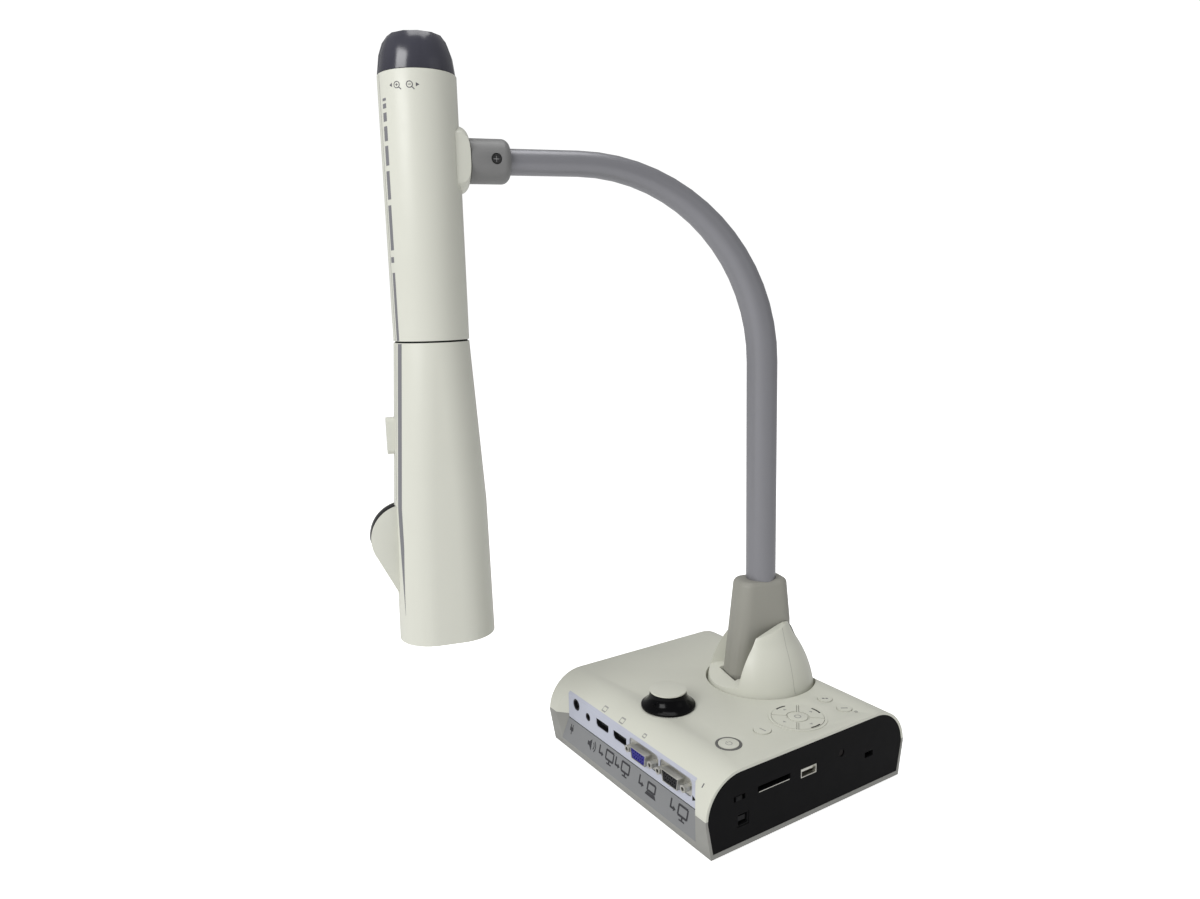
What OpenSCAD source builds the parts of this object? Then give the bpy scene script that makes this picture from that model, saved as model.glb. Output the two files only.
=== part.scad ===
// Desktop document camera: base unit, swivelling arm and camera head.
// Units are millimetres.  The table is z = 0, the operator stands at -Y and
// the video sockets are on the -X side.

/* [Base shell] */
// width of the base, left to right
base_w = 172; // [150:1:200]
// depth of the base, front to back
base_d = 180; // [160:1:210]
// height of the flat top above the table
base_h = 52; // [46:1:60]
// height of the joint between tray and cover
split_z = 27; // [22:1:32]
// radius of the two long shoulders
shoulder_r = 27; // [20:1:30]
// how far each long side leans in towards the table
side_draft = 4; // [0:0.5:6]
// wall thickness of the tray and the cover
shell_wall = 2.4; // [1.8:0.1:3]
// height of the rubber foot below the tray
foot_h = 1.5; // [1:0.1:3]
// width of the rim around the black front panel
panel_inset = 1.8; // [1:0.1:3]
// thickness of the black front panel
panel_t = 3; // [2:0.5:4]

/* [Socket bay] */
// outer face of the white socket plate
plate_x = -79.5; // [-82:0.5:-76]
// half the length of the socket plate
bay_half = 73; // [60:0.5:74]
// how far the end walls of the bay open out, per millimetre of depth
bay_flare = 1.17; // [0:0.01:1.2]
// height of the lower edge of the socket plate
bay_z = 24.5; // [20:0.5:26]
// height of the lower edge of the grey bezel
bezel_z = 7.4; // [5:0.1:10]
// distance between the two jackscrews of a video socket
jack_pitch = 24.99; // [24.9:0.01:25.1]

/* [Controls] */
// largest radius of the black dial
dial_r = 18.4; // [14:0.2:22]
// radius of the dial top
dial_top_r = 12.4; // [9:0.2:15]
// height of the dial
dial_h = 10.5; // [8:0.5:14]
// outer radius of the four-way pad
pad_r = 18.4; // [14:0.2:22]
// radius of the power button
power_r = 6.5; // [5:0.1:8]
// running gap around every key
key_gap = 0.3; // [0.2:0.05:0.5]

/* [Hub] */
// hub centre, left to right
hub_x = 38.3; // [20:0.1:45]
// hub centre, front to back
hub_y = -1.6; // [-20:0.1:20]
// direction the arm points, seen from above
arm_heading = 165; // [90:1:270]
// radius of the round well the hub turns in
well_r = 39.2; // [36:0.1:42]
// radius of the hub dome at its foot
dome_r = 38.3; // [35:0.1:41]
// height of the dome top
dome_top = 96; // [80:1:100]
// height of the arm's tilt pin
pivot_z = 68; // [64:1:74]
// radius of the round foot of the neck
drum_r = 20.3; // [16:0.1:20.5]
// thickness of the neck, across the arm
neck_t = 24; // [21:0.5:26]
// diameter of the tilt pin
pin_d = 8; // [6:0.5:10]

/* [Arm] */
// diameter of the upright part of the tube
mast_d = 20.8; // [16:0.1:24]
// diameter of the tube at the head
tip_d = 15.5; // [12:0.1:20]
// wall of the tube
tube_wall = 1.4; // [1:0.1:2]
// radius of the tube's bend
bend_r = 127.5; // [100:0.5:150]
// height of the level part of the tube
arm_z = 406.5; // [350:0.5:450]
// end of the grey barrel nearest the head
barrel_end = 195; // [170:0.5:210]
// radius of the grey barrel
barrel_r = 13; // [11:0.1:16]

/* [Head] */
// distance from hub axis to head axis
head_s = 222.3; // [200:0.1:240]
// diameter of the upper head
head_d = 45; // [40:0.5:50]
// height of the seam between the two head housings
seam_z = 302; // [280:1:320]
// height where the lower housing stops widening
flare_z = 203; // [180:1:230]
// how far the lower housing has widened at that height, front and back
flare = 5.9; // [3:0.1:8]
// how far the lower housing has widened at its rim
rim_flare = 7.2; // [3:0.1:9]
// height of the bottom rim of the head
rim_z = 117.5; // [110:0.5:140]
// height of the top of the upper housing
head_top = 452; // [440:1:470]
// wall of the head housings
head_wall = 2.2; // [1.8:0.1:3]
// height of the zoom cap
cap_h = 21.5; // [16:0.5:26]

/* [Hidden] */
half_w = base_w / 2;
half_d = base_d / 2;
flat_half = half_w - shoulder_r;
shoulder_z = base_h - shoulder_r;
floor_z = foot_h + 2.5;
board_z = 26.2;
board_t = 1.6;
board_top = board_z + board_t;
plate_t = 1.5;
bezel_x = -83.4;
boss_x = 72;
boss_y = 76;
stand_x = [-64, 2];
stand_y = 70;
panel_back = -half_d + panel_t;
panel_z = 4.5;

dial_x = -44.3;
dial_y = -0.5;
power_x = -45.9;
power_y = -63.9;
pad_x = 13.6;
pad_y = -63.5;
pad_key_out = 16.9;
pad_key_in = 7.6;
enter_r = 6.4;
small_keys = [[-17.1, -63, 5.6], [47.6, -55.3, 4.8], [47.4, -72.6, 4.8]];
led_x = 50.2;
led_y = -79.9;
key_z = 49;
key_top = base_h + 0.5;
key_board_z = 42;
key_pads = concat([[power_x, power_y]], [for (k = small_keys) [k[0], k[1]]],
                  [[pad_x, pad_y]], [for (a = [0 : 90 : 270])
                  [pad_x + 12 * cos(a), pad_y + 12 * sin(a)]]);
key_stem_z = 46.2;

dc_y = 62.2;
dc_z = 37.6;
audio_y = 46.7;
audio_z = 34.5;
hdmi_y = [28.1, 6.7];
hdmi_z = 35.7;
vga_y = [-20.5, -53.8];
vga_z = 36.1;

card_x = -32.2;
card_z = 34.1;
usb_x = -3.3;
usb_z = 32.1;
usb_b_x = -57;
usb_b_z = 19;
switch_x = -60;
switch_z = 33.6;
ir_x = 26.3;
ir_z = 34.6;
lock_x = 52.2;
lock_z = 25.7;

well_floor = 39.5;
well_under = 36;
washer_t = 1.5;
hub_plate_z = well_floor + washer_t;
hub_plate_t = 3;
spindle_r = 10;
spindle_bore = 6.5;
nut_z = 31.5;
dome_arc_r = 75.8;
dome_cone = [75, 28.5];
dome_slope = 0.44;
dome_wall = 3;
slot_half = 12.6;
slot_r = 24.9;
mouth_half = 14.6;
mouth_flare = 0.27;
cheek_t = 4;
cheek_fall = 0.29;
lip_s = 24.3;
lip_z = 58.4;

tube_steps = 16;
tube_sides = 28;
tube_foot = 88;
tube_tip = 185;
barrel_tip = 170.6;
shaft_r = 5;

head_r = head_d / 2;
flange_half = 19.3;
flange_side = 13.4;
flange_round = 6;
neck_top = 126.5;
neck_round = 3.5;
toe_r = 27.9;
toe_z = 55;
spindle_head_r = 8;
seam_gap = 1.1;
pod_r = 21;
pod_out = 22.6;
pod_z = 183;
pod_half = 6.6;
pod_foot_z = 147.5;
pod_foot = 28.6;
window_half = 4.6;
button_z = 246;
button_in = 21;
button_out = 30.1;
lens_r = 15;

// node to draw

$fa = 6;
$fs = 0.4;

// ---------- shared shapes ----------

// Arched cross-section of the base, shrunk by i, in the XZ plane.
module base_profile(i) {
  polygon([
    [-(half_w - side_draft - i), foot_h + i],
    [half_w - side_draft - i, foot_h + i],
    [half_w - i, shoulder_z],
    [-(half_w - i), shoulder_z]
  ]);
  translate([-flat_half, shoulder_z - 1])
    square([2 * flat_half, shoulder_r - i + 1]);
  for (s = [-1, 1])
    translate([s * flat_half, shoulder_z])
      intersection() {
        circle(r = shoulder_r - i, $fn = 96);
        translate([-shoulder_r, 0])
          square([2 * shoulder_r, shoulder_r]);
      }
}

// Length of base section between two y positions.
module base_bar(i, y0, y1) {
  translate([0, y1, 0])
    rotate([90, 0, 0])
      linear_extrude(height = y1 - y0)
        base_profile(i);
}

module box(x0, x1, y0, y1, z0, z1) {
  translate([x0, y0, z0])
    cube([x1 - x0, y1 - y0, z1 - z0]);
}

module rod(r, z0, z1) {
  translate([0, 0, z0])
    cylinder(r = r, h = z1 - z0);
}

module ring(r_out, r_in, z0, z1) {
  difference() {
    rod(r_out, z0, z1);
    rod(r_in, z0 - 1, z1 + 1);
  }
}

// Cylinder along Y.
module rod_y(r, y0, y1) {
  translate([0, y0, 0])
    rotate([-90, 0, 0])
      cylinder(r = r, h = y1 - y0);
}

// Cylinder along X.
module rod_x(r, x0, x1) {
  translate([x0, 0, 0])
    rotate([0, 90, 0])
      cylinder(r = r, h = x1 - x0);
}

// Rectangle with round corners, centred.
module soft_rect(w, h, r) {
  square([w - 2 * r, h], center = true);
  square([w, h - 2 * r], center = true);
  for (x = [-1, 1], y = [-1, 1])
    translate([x * (w / 2 - r), y * (h / 2 - r)])
      circle(r = r);
}

module at_bosses() {
  for (x = [-1, 1], y = [-1, 1])
    translate([x * boss_x, y * boss_y, 0])
      children();
}

module at_standoffs() {
  for (x = stand_x, y = [-1, 1])
    translate([x, y * stand_y, 0])
      children();
}

// Frame of the arm: X away from the hub, Y across the arm.
module arm_frame() {
  translate([hub_x, hub_y, 0])
    rotate([0, 0, arm_heading])
      children();
}

// Same frame with its origin on the head axis.
module head_frame() {
  arm_frame()
    translate([head_s, 0, 0])
      children();
}

// Front face of the base, with X and Z kept as they are.
module on_front(x, z) {
  translate([x, -half_d, z])
    children();
}

// Face of the socket plate.
module on_side(y, z) {
  translate([plate_x, y, z])
    children();
}

// Plan of the socket bay, open towards -X, with its two end walls slanting.
module bay_plan(g) {
  x_out = -half_w - 1;
  y_out = bay_half + (plate_x - x_out) * bay_flare - g;
  y_in = bay_half - g;
  polygon([
    [x_out, -y_out], [plate_x, -y_in], [plate_x + plate_t, -y_in],
    [plate_x + plate_t, y_in], [plate_x, y_in], [x_out, y_out]
  ]);
}

// Ribs behind the two end walls of the bay.
module bay_ribs() {
  x_out = -half_w - 1;
  y_out = bay_half + (plate_x - x_out) * bay_flare;
  x_in = plate_x + plate_t + 1;
  for (s = [-1, 1])
    polygon([
      [x_out, s * y_out], [plate_x, s * bay_half], [x_in, s * bay_half],
      [x_in, s * (bay_half + 3)], [plate_x, s * (bay_half + 3)], [x_out, s * (y_out + 3)]
    ]);
}

// Everything outside the back face of the bezel, or its outer face, within the bay.
module bay_wedge(depth, z0, z1, g) {
  slope = (plate_x - bezel_x) / (bay_z - bezel_z);
  intersection() {
    translate([0, half_d, 0])
      rotate([90, 0, 0])
        linear_extrude(height = base_d)
          polygon([
            [-half_w - 2, z0], [bezel_x + depth + (z0 - bezel_z) * slope, z0],
            [bezel_x + depth + (z1 - bezel_z) * slope, z1], [-half_w - 2, z1]
          ]);
    linear_extrude(height = base_h)
      bay_plan(g);
  }
}

// ---------- base case ----------

module foot_frame() {
  color([0.16, 0.16, 0.16])
    difference() {
      linear_extrude(height = foot_h + 0.8)
        soft_rect(132, 140, 6);
      translate([0, 0, -1])
        linear_extrude(height = foot_h + 3)
          soft_rect(120, 128, 3);
    }
}

module base_tray() {
  color([0.6, 0.6, 0.57])
    difference() {
      union() {
        difference() {
          base_bar(0, -half_d, half_d);
          box(-half_w, half_w, -half_d, half_d, split_z, base_h);
          base_bar(shell_wall, panel_back + 2, half_d - shell_wall);
        }
        at_bosses()
          rod(4.5, floor_z - 0.5, split_z);
        at_standoffs()
          rod(3.5, floor_z - 0.5, board_z);
        intersection() {
          base_bar(0.5, -half_d + 1, half_d - 1);
          translate([0, 0, floor_z - 0.5])
            linear_extrude(height = split_z - floor_z + 0.5)
              bay_ribs();
        }
      }
      // seat of the black panel
      intersection() {
        base_bar(panel_inset, -half_d - 1, panel_back);
        box(-half_w, half_w, -half_d - 1, panel_back, panel_z, base_h);
      }
      // windows behind the panel
      on_front(usb_b_x, usb_b_z)
        box(-6.1, 6.1, panel_t - 1, 9, -6, 20);
      box(-70, 70, panel_back - 1, panel_back + 3, 24, 40);
      on_front(lock_x, lock_z)
        box(-6, 6, panel_t - 1, 7, -5, 5);
      // seat of the grey bezel and the socket plate
      bay_wedge(plate_t + 0.1, bezel_z, bay_z, 0);
      translate([0, 0, bay_z])
        linear_extrude(height = base_h)
          bay_plan(0);
      // groove for the foot
      translate([0, 0, foot_h - 1])
        linear_extrude(height = 1.8)
          difference() {
            soft_rect(132, 140, 6);
            soft_rect(120, 128, 3);
          }
      // case screws
      at_bosses() {
        rod(1.7, 0, split_z + 1);
        rod(3.2, 0, foot_h + 1.8);
      }
      at_standoffs()
        rod(1.2, board_z - 8, board_z + 1);
      // cooling slots
      for (x = [-50 : 6 : -20])
        translate([x, 20, 0])
          linear_extrude(height = floor_z + 1)
            soft_rect(2.4, 40, 1.1);
    }
}

module base_screws() {
  color([0.7, 0.7, 0.7])
    at_bosses()
      difference() {
        union() {
          rod(2.9, foot_h + 0.1, foot_h + 1.8);
          rod(1.45, foot_h + 1.8, 38);
        }
        box(-2, 2, -0.3, 0.3, 0, foot_h + 0.9);
        box(-0.3, 0.3, -2, 2, 0, foot_h + 0.9);
      }
}

module weight_plate() {
  color([0.45, 0.46, 0.48])
    difference() {
      box(10, 76, -62, 62, floor_z, floor_z + 10);
      for (y = [-50, 50])
        translate([43, y, 0])
          rod(2.2, 0, 20);
    }
}

module main_board() {
  color([0.1, 0.32, 0.16]) {
    difference() {
      box(-76.4, 7, -84, 84, board_z, board_top);
      at_bosses()
        rod(5, 0, 40);
      at_standoffs()
        rod(1.6, 0, 40);
    }
    for (c = [[-30, 30], [-12, -30]])
      box(c[0] - 9, c[0] + 9, c[1] - 9, c[1] + 9, board_top, board_top + 1.6);
    for (y = [-10, 58])
      translate([-4, y, 0])
        rod(4, board_top, board_top + 8);
  }
}

module board_screws() {
  color([0.72, 0.72, 0.72])
    at_standoffs() {
      rod(2.6, board_top, board_top + 1.5);
      rod(1.15, board_top - 7, board_top);
    }
}

module top_cover() {
  color([0.92, 0.92, 0.87])
    difference() {
      union() {
        difference() {
          base_bar(0, -half_d, half_d);
          box(-half_w, half_w, -half_d, half_d, 0, split_z);
          base_bar(shell_wall, panel_back + 2, half_d - shell_wall);
        }
        // screw bosses and key board posts, trimmed to the shell
        intersection() {
          base_bar(1, -half_d + 1, half_d - 1);
          union() {
            at_bosses()
              rod(4.5, split_z, base_h);
            for (x = [-52, 30, 60])
              translate([x, -48, 0])
                rod(2.5, key_board_z + board_t, base_h);
            translate([hub_x, hub_y, 0])
              rod(well_r + 2.4, well_under, base_h);
            translate([0, 0, split_z])
              linear_extrude(height = base_h - split_z)
                bay_ribs();
          }
        }
      }
      // well and spindle bore
      translate([hub_x, hub_y, 0]) {
        rod(well_r, well_floor, base_h + 1);
        rod(spindle_r + 0.05, well_under - 1, base_h);
      }
      at_bosses()
        rod(1.5, split_z - 1, 39);
      // seat and window of the black panel
      base_bar(panel_inset, -half_d - 1, panel_back);
      intersection() {
        base_bar(4.5, panel_back - 1, panel_back + 3);
        box(-half_w, half_w, -half_d, half_d, 20, 47);
      }
      // socket bay
      translate([0, 0, split_z - 1])
        linear_extrude(height = base_h)
          bay_plan(0);
      box(plate_x, plate_x + 8, 3 - bay_half, bay_half - 3, split_z - 1, 42.2);
      // holes for the controls
      translate([dial_x, dial_y, 0])
        rod(5, 40, base_h + 1);
      translate([power_x, power_y, 0]) {
        rod(power_r + key_gap, 40, base_h + 1);
        rod(power_r + 1.9, base_h - 1, base_h + 1);
      }
      translate([pad_x, pad_y, 0])
        rod(pad_r + 0.7, 40, base_h + 1);
      for (k = small_keys)
        translate([k[0], k[1], 0])
          rod(k[2] + key_gap, 40, base_h + 1);
      translate([led_x, led_y, 0])
        rod(1.35, 40, base_h + 1);
    }
}

module front_panel() {
  color([0.08, 0.08, 0.085])
    difference() {
      intersection() {
        base_bar(panel_inset + 0.1, -half_d + 0.2, panel_back);
        box(-half_w, half_w, -half_d, half_d, panel_z + 0.1, base_h);
      }
      on_front(card_x, card_z)
        box(-13.4, 13.4, -1, panel_t + 1, -1.7, 1.7);
      on_front(usb_x, usb_z)
        box(-6.9, 6.9, -1, panel_t + 1, -3.1, 3.1);
      on_front(usb_b_x, usb_b_z)
        box(-4.6, 4.6, -1, panel_t + 1, -4.2, 4.2);
      on_front(switch_x, switch_z)
        box(-4.5, 4.5, -1, panel_t + 1, -1.7, 1.7);
      on_front(ir_x, ir_z)
        rod_y(2.5, -1, panel_t + 1);
      on_front(lock_x, lock_z)
        box(-3.9, 3.9, -1, panel_t + 1, -1.9, 1.9);
    }
}

// ---------- socket side ----------

module hdmi_shape(w, h, c) {
  polygon([
    [-w / 2, h / 2], [w / 2, h / 2], [w / 2, c - h / 2],
    [w / 2 - c, -h / 2], [c - w / 2, -h / 2], [-w / 2, c - h / 2]
  ]);
}

// D-shaped outline of a fifteen-way video socket.
module vga_shape(i) {
  polygon([
    [-(8.4 - i), 3.9 - i], [8.4 - i, 3.9 - i],
    [7.1 - i, -(3.9 - i)], [-(7.1 - i), -(3.9 - i)]
  ]);
}

// Extrude a socket outline along X; its first axis runs along Y.
module side_extrude(x0, x1) {
  translate([x0, 0, 0])
    rotate([90, 0, 90])
      linear_extrude(height = x1 - x0)
        children();
}

module connector_plate() {
  color([0.83, 0.84, 0.88])
    difference() {
      intersection() {
        base_bar(0, 0.1 - bay_half, bay_half - 0.1);
        box(plate_x, plate_x + plate_t, -half_d, half_d, bay_z + 0.2, base_h);
      }
      on_side(dc_y, dc_z)
        rod_x(4.3, -1, 3);
      on_side(audio_y, audio_z)
        rod_x(2.9, -1, 3);
      for (y = hdmi_y)
        on_side(y, hdmi_z)
          side_extrude(-1, 3)
            hdmi_shape(15.4, 5.8, 1.6);
      for (y = vga_y)
        on_side(y, vga_z)
          side_extrude(-1, 3)
            soft_rect(31.6, 11.8, 3);
    }
}

module connector_bezel() {
  color([0.5, 0.5, 0.49])
    difference() {
      bay_wedge(plate_t, bezel_z + 0.1, bay_z - 0.5, 0.1);
      bay_wedge(0, bezel_z - 1, bay_z, -1);
    }
}

module dc_jack() {
  color([0.1, 0.1, 0.1]) {
    on_side(dc_y, dc_z)
      difference() {
        rod_x(4.2, 0.2, 9);
        rod_x(3, 0, 8);
      }
    on_side(dc_y, dc_z)
      rod_x(1, 1.5, 9);
    box(plate_x + 9, plate_x + 13, dc_y - 4, dc_y + 4, board_top, dc_z + 4);
  }
}

module audio_jack() {
  color([0.1, 0.1, 0.1]) {
    on_side(audio_y, audio_z)
      difference() {
        union() {
          rod_x(2.8, 0.2, 6);
          box(5, 16, -3, 3, board_top - audio_z, 2.8);
        }
        rod_x(1.8, 0, 15);
      }
  }
}

module hdmi_sockets() {
  color([0.62, 0.62, 0.64])
    for (y = hdmi_y) {
      on_side(y, hdmi_z)
        difference() {
          side_extrude(0.3, 11)
            hdmi_shape(15, 5.4, 1.6);
          side_extrude(0, 9.5)
            hdmi_shape(14.2, 4.6, 1.4);
        }
      on_side(y, hdmi_z)
        box(2, 10, -5.2, 5.2, -0.5, 0.6);
      box(plate_x + 4, plate_x + 11, y - 6, y + 6, board_top, hdmi_z - 2.4);
    }
}

module vga_shells() {
  color([0.72, 0.72, 0.7])
    for (y = vga_y) {
      on_side(y, vga_z)
        difference() {
          union() {
            side_extrude(0.4, 1.3)
              soft_rect(30.8, 11.2, 2);
            side_extrude(-4.8, 0.4)
              vga_shape(0);
            side_extrude(1.3, 9)
              soft_rect(20, 10.6, 1);
          }
          side_extrude(-6, 7)
            vga_shape(0.5);
          for (j = [-1, 1])
            translate([0, j * jack_pitch / 2, 0])
              rod_x(1.6, 0, 2);
        }
      box(plate_x + 9, plate_x + 12, y - 13, y + 13, board_top, vga_z + 5);
    }
}

module vga_insert(y, c) {
  color(c)
    on_side(y, vga_z)
      difference() {
        side_extrude(-4.4, 6.9)
          vga_shape(0.55);
        for (row = [-1, 0, 1], k = [-2 : 2])
          translate([0, k * 2.3 + row * 0.6, row * 1.9])
            rod_x(0.55, -5, -1.5);
      }
}

module vga_input_insert() {
  vga_insert(vga_y[0], [0.12, 0.13, 0.5]);
}

module vga_output_insert() {
  vga_insert(vga_y[1], [0.07, 0.07, 0.08]);
}

module vga_jackscrews() {
  color([0.78, 0.76, 0.68])
    for (y = vga_y, j = [-1, 1])
      on_side(y + j * jack_pitch / 2, vga_z)
        difference() {
          union() {
            translate([-4.6, 0, 0])
              rotate([0, 90, 0])
                cylinder(d = 5.2, h = 5, $fn = 6);
            rod_x(1.5, 0.4, 6);
          }
          rod_x(1.25, -5, 1);
        }
}

// ---------- front sockets ----------

module card_socket() {
  color([0.55, 0.55, 0.57])
    difference() {
      on_front(card_x, card_z)
        box(-15, 15, panel_t + 2.2, 32, -3.2, 2.6);
      on_front(card_x, card_z)
        box(-12.4, 12.4, panel_t, 30, -1.3, 1.3);
      on_front(card_x, card_z)
        box(-3, 3, 4, 40, 1, 4);
    }
}

module usb_a_socket() {
  color([0.75, 0.75, 0.76]) {
    on_front(usb_x, usb_z)
      difference() {
        box(-6.7, 6.7, 0, 17, -2.9, 2.9);
        box(-6.1, 6.1, -1, 15.6, -2.3, 2.3);
      }
    on_front(usb_x, usb_z)
      box(-5.6, 5.6, 1.5, 16, 0, 1.6);
  }
}

module usb_b_socket() {
  color([0.5, 0.5, 0.52])
    on_front(usb_b_x, usb_b_z) {
      difference() {
        box(-4.4, 4.4, 0.8, 16, -4, 4);
        box(-3.9, 3.9, 0, 14, -3.5, 3.5);
      }
      box(-2.7, 2.7, 2, 15, -1.5, 1.5);
      box(-4.4, 4.4, 10, 15, 4, board_z - usb_b_z);
    }
}

module mode_switch() {
  color([0.2, 0.2, 0.21])
    on_front(switch_x, switch_z) {
      difference() {
        box(-2.6, 1.6, -0.1, panel_t + 3, -1.4, 1.4);
        for (x = [-1.9 : 0.9 : 1])
          box(x, x + 0.4, -1, 0.3, -2, 2);
      }
      box(-4, 3, panel_t + 2.2, panel_t + 4, -2.4, 2.4);
    }
}

module ir_sensor() {
  color([0.12, 0.03, 0.04])
    on_front(ir_x, ir_z) {
      rod_y(2.3, 0.8, panel_t + 1);
      box(-4, 4, panel_t + 1, panel_t + 4, -4, 4);
    }
}

// ---------- controls ----------

module key_board() {
  color([0.1, 0.32, 0.16]) {
    difference() {
      box(-57, 63, -82, -45, key_board_z, key_board_z + board_t);
      translate([hub_x, hub_y, 0])
        rod(well_r + 3, 0, base_h);
    }
    for (p = key_pads)
      translate([p[0], p[1], 0])
        rod(2, key_board_z + board_t, key_stem_z - 1);
  }
}

// Round key: cap, flange under the cover and stem.
module round_key(x, y, r) {
  translate([x, y, 0]) {
    rod(r, key_z - 0.8, key_top);
    rod(r + 1, key_z - 1.6, key_z - 0.8);
    rod(1.6, key_stem_z, key_z - 1.6);
  }
}

module power_button() {
  color([0.92, 0.92, 0.87])
    round_key(power_x, power_y, power_r);
}

module power_ring() {
  color([0.3, 0.3, 0.29])
    translate([power_x, power_y, 0])
      ring(power_r + 1.8, power_r + key_gap, base_h - 1, base_h + 0.3);
}

module pad_bezel() {
  color([0.72, 0.72, 0.69])
    translate([pad_x, pad_y, 0]) {
      ring(pad_r + 0.6, pad_key_out + key_gap, 47.8, base_h + 0.3);
      ring(pad_key_in - key_gap, enter_r + key_gap, 47.8, base_h + 0.2);
      for (a = [45 : 90 : 315])
        rotate([0, 0, a])
          box(enter_r + 0.6, pad_key_out + 0.6, -0.5, 0.5, 47.8, base_h + 0.2);
    }
}

// One quarter of the four-way pad, centred on direction a.
module pad_key(a) {
  color([0.92, 0.92, 0.87])
    translate([pad_x, pad_y, 0])
      rotate([0, 0, a]) {
        intersection() {
          ring(pad_key_out, pad_key_in, key_z, key_top);
          translate([1.15, 0, 0])
            linear_extrude(height = key_top)
              polygon([[0, 0], [30, -30], [30, 30]]);
        }
        translate([12, 0, 0])
          rod(1.6, key_stem_z, key_z);
      }
}

module pad_right_key() {
  pad_key(0);
}

module pad_back_key() {
  pad_key(90);
}

module pad_left_key() {
  pad_key(180);
}

module pad_front_key() {
  pad_key(270);
}

module enter_button() {
  color([0.92, 0.92, 0.87])
    translate([pad_x, pad_y, 0]) {
      rod(enter_r, key_z - 0.8, key_top + 0.1);
      rod(1.6, key_stem_z, key_z - 0.8);
    }
}

module menu_button() {
  color([0.92, 0.92, 0.87])
    round_key(small_keys[0][0], small_keys[0][1], small_keys[0][2]);
}

module image_button() {
  color([0.92, 0.92, 0.87])
    round_key(small_keys[1][0], small_keys[1][1], small_keys[1][2]);
}

module record_button() {
  color([0.92, 0.92, 0.87])
    round_key(small_keys[2][0], small_keys[2][1], small_keys[2][2]);
}

module status_led() {
  color([0.35, 0.75, 0.4])
    translate([led_x, led_y, 0])
      rod(1.25, key_board_z + board_t, base_h + 0.1);
}

module dial() {
  color([0.05, 0.05, 0.055])
    translate([dial_x, dial_y, base_h + 0.4])
      difference() {
        rotate_extrude()
          difference() {
            square([dial_r, dial_h]);
            translate([dial_r, 1.2])
              square([1, dial_h]);
            translate([dial_top_r + 10.2, dial_h])
              circle(r = 10.2, $fn = 96);
          }
        rod(dial_top_r - 0.8, dial_h - 1.2, dial_h + 1);
        rod(3, -1, dial_h - 2.5);
        ring(dial_r - 2, 6, -1, 1.2);
        translate([dial_top_r - 0.8, 0, dial_h - 2])
          box(-0.4, 2, -0.5, 0.5, 0, 3);
      }
}

module dial_cap() {
  color([0.9, 0.9, 0.85])
    translate([dial_x, dial_y, base_h + 0.4 + dial_h]) {
      rod(dial_top_r - 0.85, -1.2, 0.02);
      rod(dial_top_r, 0.02, 0.9);
    }
}

module dial_encoder() {
  color([0.35, 0.36, 0.38])
    translate([dial_x, dial_y, 0]) {
      box(-7, 7, -7, 7, board_top, board_top + 7);
      rod(4.4, board_top + 7, 49);
      rod(2.95, 49, base_h + dial_h - 2.3);
    }
}

// ---------- hub ----------

module thrust_washer() {
  color([0.85, 0.85, 0.8])
    translate([hub_x, hub_y, 0])
      ring(28, spindle_r + 0.3, well_floor, hub_plate_z);
}

module hub_spindle() {
  color([0.55, 0.56, 0.58])
    arm_frame()
      difference() {
        union() {
          rod(spindle_r, 29, hub_plate_z + 0.5);
          rod(35, hub_plate_z, hub_plate_z + hub_plate_t);
        }
        rod(spindle_bore, 28, 50);
        for (a = [60, 180, 300])
          rotate([0, 0, a])
            translate([31.2, 0, 0])
              rod(1.5, hub_plate_z - 1, 50);
      }
}

module hub_nut() {
  color([0.7, 0.7, 0.72])
    arm_frame()
      difference() {
        translate([0, 0, nut_z])
          cylinder(d = 31, h = well_under - nut_z - 0.1, $fn = 6);
        rod(spindle_r + 0.02, nut_z - 1, well_under + 1);
      }
}

// Solid of the dome, shrunk by i.
module dome_solid(i, z0) {
  z1 = dome_top - i;
  rotate_extrude() {
    intersection() {
      translate([dome_r - dome_arc_r, 40])
        circle(r = dome_arc_r - i, $fn = 160);
      translate([0, z0])
        square([dome_r, z1 - z0]);
    }
    polygon([
      [0, dome_cone[0]], [dome_cone[1] - i, dome_cone[0]],
      [dome_cone[1] - i - (z1 - dome_cone[0]) * dome_slope, z1], [0, z1]
    ]);
  }
}

// Plan of the mouth of the dome, widening towards the head.
module mouth_plan(g) {
  for (s = [-1, 1])
    polygon([
      [-8, 0], [50, 0], [50, s * (mouth_half + 50 * mouth_flare + g)],
      [-8, s * (mouth_half - 8 * mouth_flare + g)]
    ]);
}

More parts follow.
